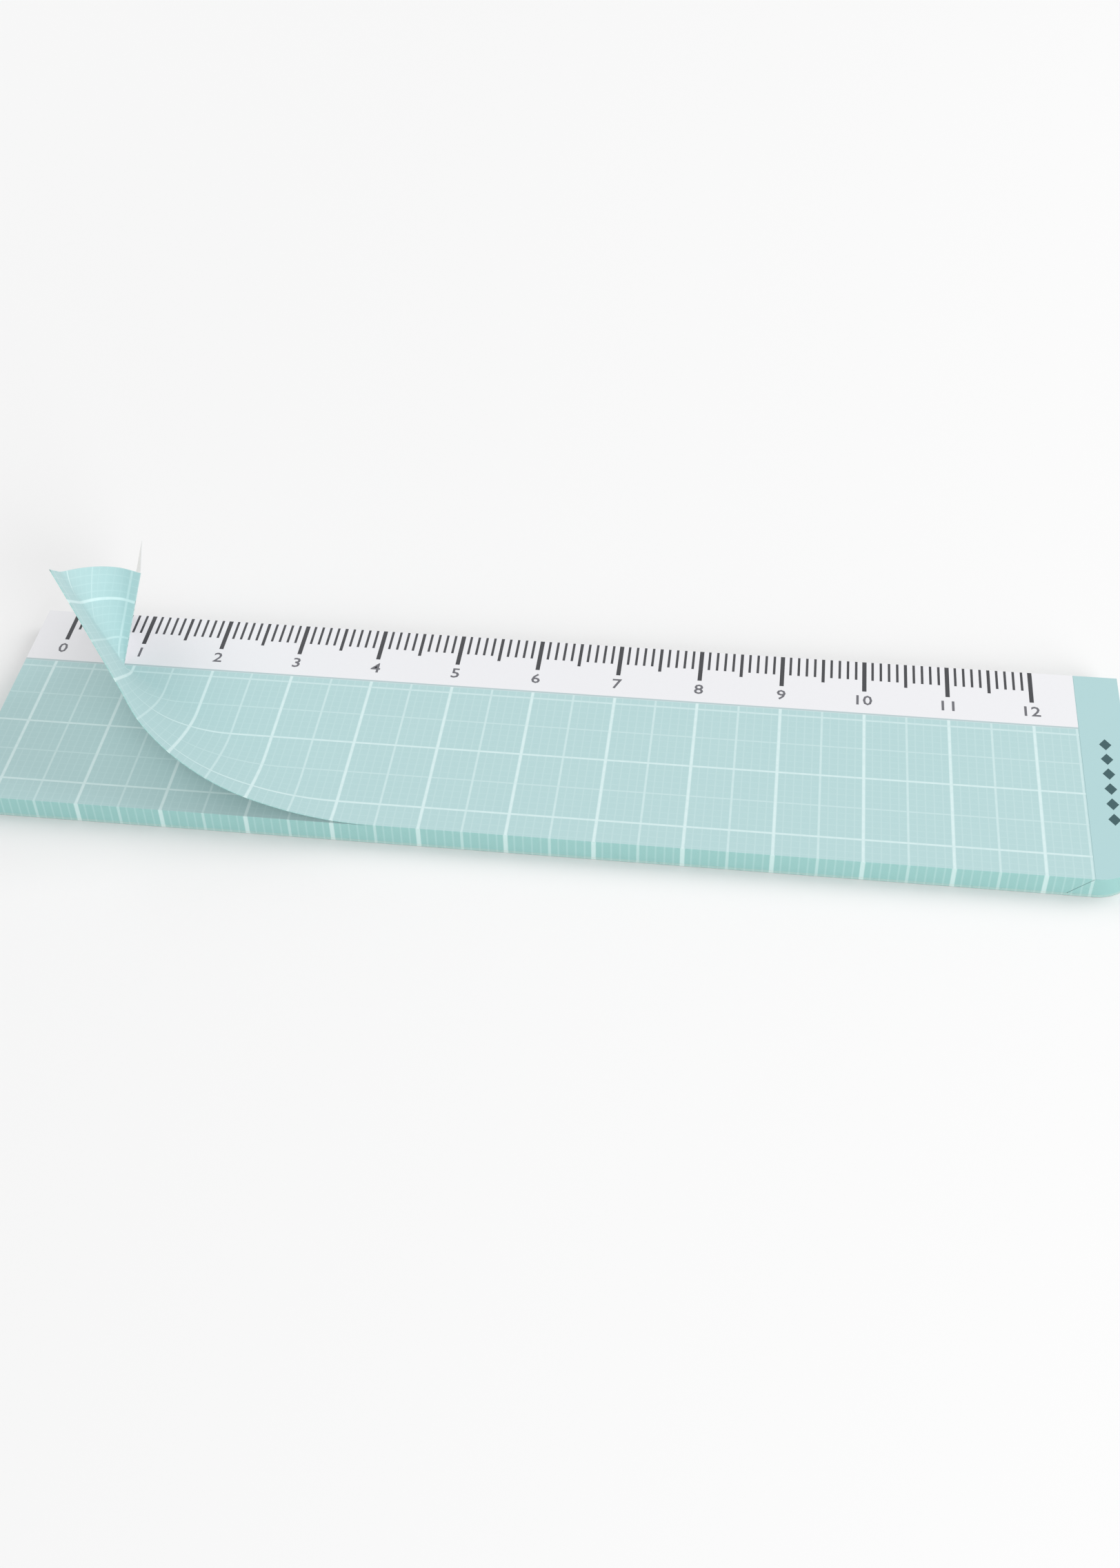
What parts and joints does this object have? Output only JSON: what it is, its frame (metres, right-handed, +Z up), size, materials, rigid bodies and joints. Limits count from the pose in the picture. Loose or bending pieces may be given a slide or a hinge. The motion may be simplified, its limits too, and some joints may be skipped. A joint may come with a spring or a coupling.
{
  "type": "ruler-shaped note pad",
  "caption": "Pad of printed paper slips cut to the shape of a ruler, glued at one end on a backing card, with the top slip curled up.",
  "frame": {"origin": "centre of the underside of the backing card", "axes": "+X along the pad towards its bound end, +Y across it towards the scale edge, +Z up, out of the printed face"},
  "size_m": [0.1344, 0.0372, 0.0274],
  "materials": {
    "printed_paper": "matt, printed teal grid and white scale strip",
    "backing_card": "matt grey card",
    "adhesive": "clear low-tack adhesive"
  },
  "bodies": {
    "pad": {"backing_card": "backing_card", "slip_bound_ends": "printed_paper", "adhesive_strips": "adhesive"},
    "slip_01": {"slip_01_flat": "printed_paper"},
    "curl_01": {"slip_01_curl_01": "printed_paper"},
    "curl_02": {"slip_01_curl_02": "printed_paper"},
    "curl_03": {"slip_01_curl_03": "printed_paper"},
    "curl_04": {"slip_01_curl_04": "printed_paper"},
    "curl_05": {"slip_01_curl_05": "printed_paper"},
    "curl_06": {"slip_01_curl_06": "printed_paper"},
    "curl_07": {"slip_01_curl_07": "printed_paper"},
    "curl_08": {"slip_01_curl_08": "printed_paper"},
    "curl_09": {"slip_01_curl_09": "printed_paper"},
    "curl_10": {"slip_01_curl_10": "printed_paper"},
    "scale_tab": {"slip_01_scale_tab": "printed_paper"},
    "slip_02": {"slip_02": "printed_paper"},
    "slip_03": {"slip_03": "printed_paper"},
    "slip_04": {"slip_04": "printed_paper"},
    "slip_05": {"slip_05": "printed_paper"},
    "slip_06": {"slip_06": "printed_paper"},
    "slip_07": {"slip_07": "printed_paper"},
    "slip_08": {"slip_08": "printed_paper"},
    "slip_09": {"slip_09": "printed_paper"},
    "slip_10": {"slip_10": "printed_paper"},
    "slip_11": {"slip_11": "printed_paper"},
    "slip_12": {"slip_12": "printed_paper"},
    "slip_13": {"slip_13": "printed_paper"},
    "slip_14": {"slip_14": "printed_paper"},
    "slip_15": {"slip_15": "printed_paper"},
    "slip_16": {"slip_16": "printed_paper"},
    "slip_17": {"slip_17": "printed_paper"},
    "slip_18": {"slip_18": "printed_paper"},
    "slip_19": {"slip_19": "printed_paper"},
    "slip_20": {"slip_20": "printed_paper"},
    "slip_21": {"slip_21": "printed_paper"},
    "slip_22": {"slip_22": "printed_paper"},
    "slip_23": {"slip_23": "printed_paper"},
    "slip_24": {"slip_24": "printed_paper"},
    "slip_25": {"slip_25": "printed_paper"}
  },
  "joints": [
    {"name": "slip_01_turn", "type": "hinge", "parent": "pad", "child": "slip_01", "pos_m": [0.06195, 0, 0.00285], "axis": [0, 1, 0], "range_deg": [0, 100]},
    {"name": "slip_02_turn", "type": "hinge", "parent": "pad", "child": "slip_02", "pos_m": [0.06184, 0, 0.00275], "axis": [0, 1, 0], "range_deg": [0, 96.01]},
    {"name": "slip_03_turn", "type": "hinge", "parent": "pad", "child": "slip_03", "pos_m": [0.06173, 0, 0.00265], "axis": [0, 1, 0], "range_deg": [0, 92.01]},
    {"name": "slip_04_turn", "type": "hinge", "parent": "pad", "child": "slip_04", "pos_m": [0.06162, 0, 0.00255], "axis": [0, 1, 0], "range_deg": [0, 88.01]},
    {"name": "slip_05_turn", "type": "hinge", "parent": "pad", "child": "slip_05", "pos_m": [0.06151, 0, 0.00245], "axis": [0, 1, 0], "range_deg": [0, 84.01]},
    {"name": "slip_06_turn", "type": "hinge", "parent": "pad", "child": "slip_06", "pos_m": [0.0614, 0, 0.00235], "axis": [0, 1, 0], "range_deg": [0, 80.01]},
    {"name": "slip_07_turn", "type": "hinge", "parent": "pad", "child": "slip_07", "pos_m": [0.06129, 0, 0.00225], "axis": [0, 1, 0], "range_deg": [0, 76.01]},
    {"name": "slip_08_turn", "type": "hinge", "parent": "pad", "child": "slip_08", "pos_m": [0.06118, 0, 0.00215], "axis": [0, 1, 0], "range_deg": [0, 72.01]},
    {"name": "slip_09_turn", "type": "hinge", "parent": "pad", "child": "slip_09", "pos_m": [0.06107, 0, 0.00205], "axis": [0, 1, 0], "range_deg": [0, 68.01]},
    {"name": "slip_10_turn", "type": "hinge", "parent": "pad", "child": "slip_10", "pos_m": [0.06096, 0, 0.00195], "axis": [0, 1, 0], "range_deg": [0, 64.01]},
    {"name": "slip_11_turn", "type": "hinge", "parent": "pad", "child": "slip_11", "pos_m": [0.06085, 0, 0.00185], "axis": [0, 1, 0], "range_deg": [0, 60.01]},
    {"name": "slip_12_turn", "type": "hinge", "parent": "pad", "child": "slip_12", "pos_m": [0.06074, 0, 0.00175], "axis": [0, 1, 0], "range_deg": [0, 56.01]},
    {"name": "slip_13_turn", "type": "hinge", "parent": "pad", "child": "slip_13", "pos_m": [0.06063, 0, 0.00165], "axis": [0, 1, 0], "range_deg": [0, 52.01]},
    {"name": "slip_14_turn", "type": "hinge", "parent": "pad", "child": "slip_14", "pos_m": [0.06052, 0, 0.00155], "axis": [0, 1, 0], "range_deg": [0, 48.01]},
    {"name": "slip_15_turn", "type": "hinge", "parent": "pad", "child": "slip_15", "pos_m": [0.06041, 0, 0.00145], "axis": [0, 1, 0], "range_deg": [0, 44.01]},
    {"name": "slip_16_turn", "type": "hinge", "parent": "pad", "child": "slip_16", "pos_m": [0.0603, 0, 0.00135], "axis": [0, 1, 0], "range_deg": [0, 40.01]},
    {"name": "slip_17_turn", "type": "hinge", "parent": "pad", "child": "slip_17", "pos_m": [0.06019, 0, 0.00125], "axis": [0, 1, 0], "range_deg": [0, 36.01]},
    {"name": "slip_18_turn", "type": "hinge", "parent": "pad", "child": "slip_18", "pos_m": [0.06008, 0, 0.00115], "axis": [0, 1, 0], "range_deg": [0, 32.01]},
    {"name": "slip_19_turn", "type": "hinge", "parent": "pad", "child": "slip_19", "pos_m": [0.05997, 0, 0.00105], "axis": [0, 1, 0], "range_deg": [0, 28.01]},
    {"name": "slip_20_turn", "type": "hinge", "parent": "pad", "child": "slip_20", "pos_m": [0.05986, 0, 0.00095], "axis": [0, 1, 0], "range_deg": [0, 24.01]},
    {"name": "slip_21_turn", "type": "hinge", "parent": "pad", "child": "slip_21", "pos_m": [0.05975, 0, 0.00085], "axis": [0, 1, 0], "range_deg": [0, 20.01]},
    {"name": "slip_22_turn", "type": "hinge", "parent": "pad", "child": "slip_22", "pos_m": [0.05964, 0, 0.00075], "axis": [0, 1, 0], "range_deg": [0, 16.01]},
    {"name": "slip_23_turn", "type": "hinge", "parent": "pad", "child": "slip_23", "pos_m": [0.05953, 0, 0.00065], "axis": [0, 1, 0], "range_deg": [0, 12.01]},
    {"name": "slip_24_turn", "type": "hinge", "parent": "pad", "child": "slip_24", "pos_m": [0.05942, 0, 0.00055], "axis": [0, 1, 0], "range_deg": [0, 8.01]},
    {"name": "slip_25_turn", "type": "hinge", "parent": "pad", "child": "slip_25", "pos_m": [0.05931, 0, 0.00045], "axis": [0, 1, 0], "range_deg": [0, 4.01]},
    {"name": "curl", "type": "hinge", "parent": "slip_01", "child": "scale_tab", "pos_m": [-0.05455, 0.00739, 0.00285], "axis": [-0.2211, 0.9753, 0], "range_deg": [-108.17, 4], "stiffness_Nm_per_rad": 0.00002},
    {"name": "curl_bend_01", "type": "hinge", "parent": "slip_01", "child": "curl_01", "pos_m": [-0.05455, 0.00739, 0.00285], "axis": [-0.8487, 0.529, 0], "range_deg": [-4.01, 0.16], "stiffness_Nm_per_rad": 0.00014},
    {"name": "curl_bend_02", "type": "hinge", "parent": "curl_01", "child": "curl_02", "pos_m": [-0.05455, 0.00739, 0.00285], "axis": [-0.7923, 0.61, -0.0069], "range_deg": [-14.61, 0.55], "stiffness_Nm_per_rad": 0.00011},
    {"name": "curl_bend_03", "type": "hinge", "parent": "curl_02", "child": "curl_03", "pos_m": [-0.05455, 0.00739, 0.00285], "axis": [-0.7153, 0.6973, -0.0459], "range_deg": [-13.01, 0.49], "stiffness_Nm_per_rad": 0.000082},
    {"name": "curl_bend_04", "type": "hinge", "parent": "curl_03", "child": "curl_04", "pos_m": [-0.05455, 0.00739, 0.00285], "axis": [-0.6157, 0.7783, -0.1231], "range_deg": [-15.61, 0.59], "stiffness_Nm_per_rad": 0.000056},
    {"name": "curl_bend_05", "type": "hinge", "parent": "curl_04", "child": "curl_05", "pos_m": [-0.05455, 0.00739, 0.00285], "axis": [-0.5016, 0.829, -0.2472], "range_deg": [-14.01, 0.53], "stiffness_Nm_per_rad": 0.000037},
    {"name": "curl_bend_06", "type": "hinge", "parent": "curl_05", "child": "curl_06", "pos_m": [-0.05455, 0.00739, 0.00285], "axis": [-0.3858, 0.8298, -0.4032], "range_deg": [-15.41, 0.58], "stiffness_Nm_per_rad": 0.000023},
    {"name": "curl_bend_07", "type": "hinge", "parent": "curl_06", "child": "curl_07", "pos_m": [-0.05455, 0.00739, 0.00285], "axis": [0.078, 0.375, -0.9237], "range_deg": [-4.01, 0.16], "stiffness_Nm_per_rad": 0.0000069},
    {"name": "curl_bend_08", "type": "hinge", "parent": "curl_07", "child": "curl_08", "pos_m": [-0.05455, 0.00739, 0.00285], "axis": [0.1911, 0.187, -0.9636], "range_deg": [-36.31, 1.35], "stiffness_Nm_per_rad": 0.0000036},
    {"name": "curl_bend_09", "type": "hinge", "parent": "curl_08", "child": "curl_09", "pos_m": [-0.05455, 0.00739, 0.00285], "axis": [0.1529, -0.0915, -0.984], "range_deg": [-36.31, 1.35], "stiffness_Nm_per_rad": 0.0000019},
    {"name": "curl_bend_10", "type": "hinge", "parent": "curl_09", "child": "curl_10", "pos_m": [-0.05455, 0.00739, 0.00285], "axis": [-0.0303, -0.2671, -0.9632], "range_deg": [-37.31, 1.39], "stiffness_Nm_per_rad": 0.00000059}
  ],
  "couplings": [
    {"joint": "slip_02_turn", "follows": "slip_01_turn", "ratio": 0.96},
    {"joint": "slip_03_turn", "follows": "slip_01_turn", "ratio": 0.92},
    {"joint": "slip_04_turn", "follows": "slip_01_turn", "ratio": 0.88},
    {"joint": "slip_05_turn", "follows": "slip_01_turn", "ratio": 0.84},
    {"joint": "slip_06_turn", "follows": "slip_01_turn", "ratio": 0.8},
    {"joint": "slip_07_turn", "follows": "slip_01_turn", "ratio": 0.76},
    {"joint": "slip_08_turn", "follows": "slip_01_turn", "ratio": 0.72},
    {"joint": "slip_09_turn", "follows": "slip_01_turn", "ratio": 0.68},
    {"joint": "slip_10_turn", "follows": "slip_01_turn", "ratio": 0.64},
    {"joint": "slip_11_turn", "follows": "slip_01_turn", "ratio": 0.6},
    {"joint": "slip_12_turn", "follows": "slip_01_turn", "ratio": 0.56},
    {"joint": "slip_13_turn", "follows": "slip_01_turn", "ratio": 0.52},
    {"joint": "slip_14_turn", "follows": "slip_01_turn", "ratio": 0.48},
    {"joint": "slip_15_turn", "follows": "slip_01_turn", "ratio": 0.44},
    {"joint": "slip_16_turn", "follows": "slip_01_turn", "ratio": 0.4},
    {"joint": "slip_17_turn", "follows": "slip_01_turn", "ratio": 0.36},
    {"joint": "slip_18_turn", "follows": "slip_01_turn", "ratio": 0.32},
    {"joint": "slip_19_turn", "follows": "slip_01_turn", "ratio": 0.28},
    {"joint": "slip_20_turn", "follows": "slip_01_turn", "ratio": 0.24},
    {"joint": "slip_21_turn", "follows": "slip_01_turn", "ratio": 0.2},
    {"joint": "slip_22_turn", "follows": "slip_01_turn", "ratio": 0.16},
    {"joint": "slip_23_turn", "follows": "slip_01_turn", "ratio": 0.12},
    {"joint": "slip_24_turn", "follows": "slip_01_turn", "ratio": 0.08},
    {"joint": "slip_25_turn", "follows": "slip_01_turn", "ratio": 0.04},
    {"joint": "curl_bend_01", "follows": "curl", "ratio": 0.036979},
    {"joint": "curl_bend_02", "follows": "curl", "ratio": 0.13497},
    {"joint": "curl_bend_03", "follows": "curl", "ratio": 0.12018},
    {"joint": "curl_bend_04", "follows": "curl", "ratio": 0.14422},
    {"joint": "curl_bend_05", "follows": "curl", "ratio": 0.12943},
    {"joint": "curl_bend_06", "follows": "curl", "ratio": 0.14237},
    {"joint": "curl_bend_07", "follows": "curl", "ratio": 0.036979},
    {"joint": "curl_bend_08", "follows": "curl", "ratio": 0.33559},
    {"joint": "curl_bend_09", "follows": "curl", "ratio": 0.33559},
    {"joint": "curl_bend_10", "follows": "curl", "ratio": 0.34486}
  ]
}
